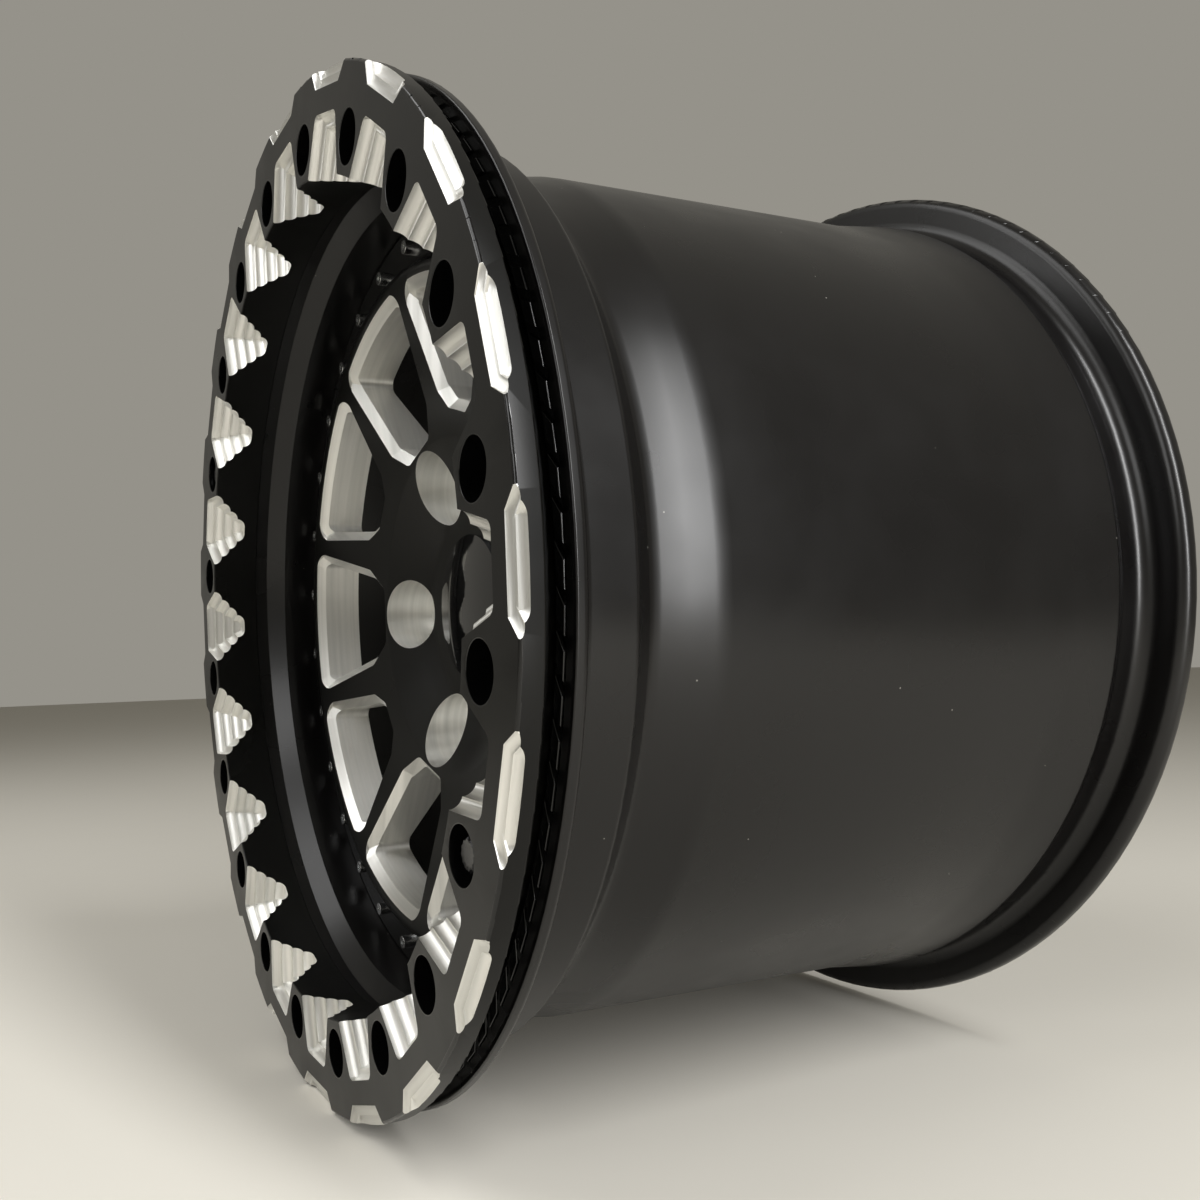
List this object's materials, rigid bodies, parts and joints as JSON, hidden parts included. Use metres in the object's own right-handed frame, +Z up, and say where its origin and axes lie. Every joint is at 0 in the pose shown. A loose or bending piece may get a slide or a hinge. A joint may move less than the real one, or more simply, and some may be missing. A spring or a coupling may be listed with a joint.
{
  "type": "forged beadlock wheel",
  "caption": "Deep forged car wheel with a bolted clamp ring, milled scallops around its opening, a recessed spoked centre and a wide plain barrel.",
  "frame": {"origin": "on the wheel's axis, midway between the clamp ring's front face and the rear lip", "axes": "+Z up, the axle along Y, the clamp ring and spoke face towards -Y, the mounting face towards +Y"},
  "size_m": [0.424, 0.3008, 0.424],
  "materials": {
    "barrel_black": "satin black powder coat, grip ribs bare at their tips",
    "centre_black": "satin black powder coat with bright milled windows and lug pockets",
    "ring_black": "satin black powder coat with bright milled scallops and notches",
    "screw_silver": "bright plated steel",
    "bolt_black": "black oxide with a thin oil film",
    "cap_black": "gloss black",
    "seal_rubber": "matte"
  },
  "bodies": {
    "root": {"barrel": "barrel_black", "centre": "centre_black", "centre_screws": "screw_silver", "beadlock_ring": "ring_black", "ring_bolts": "bolt_black", "centre_cap": "cap_black", "cap_o_ring": "seal_rubber"}
  },
  "joints": []
}
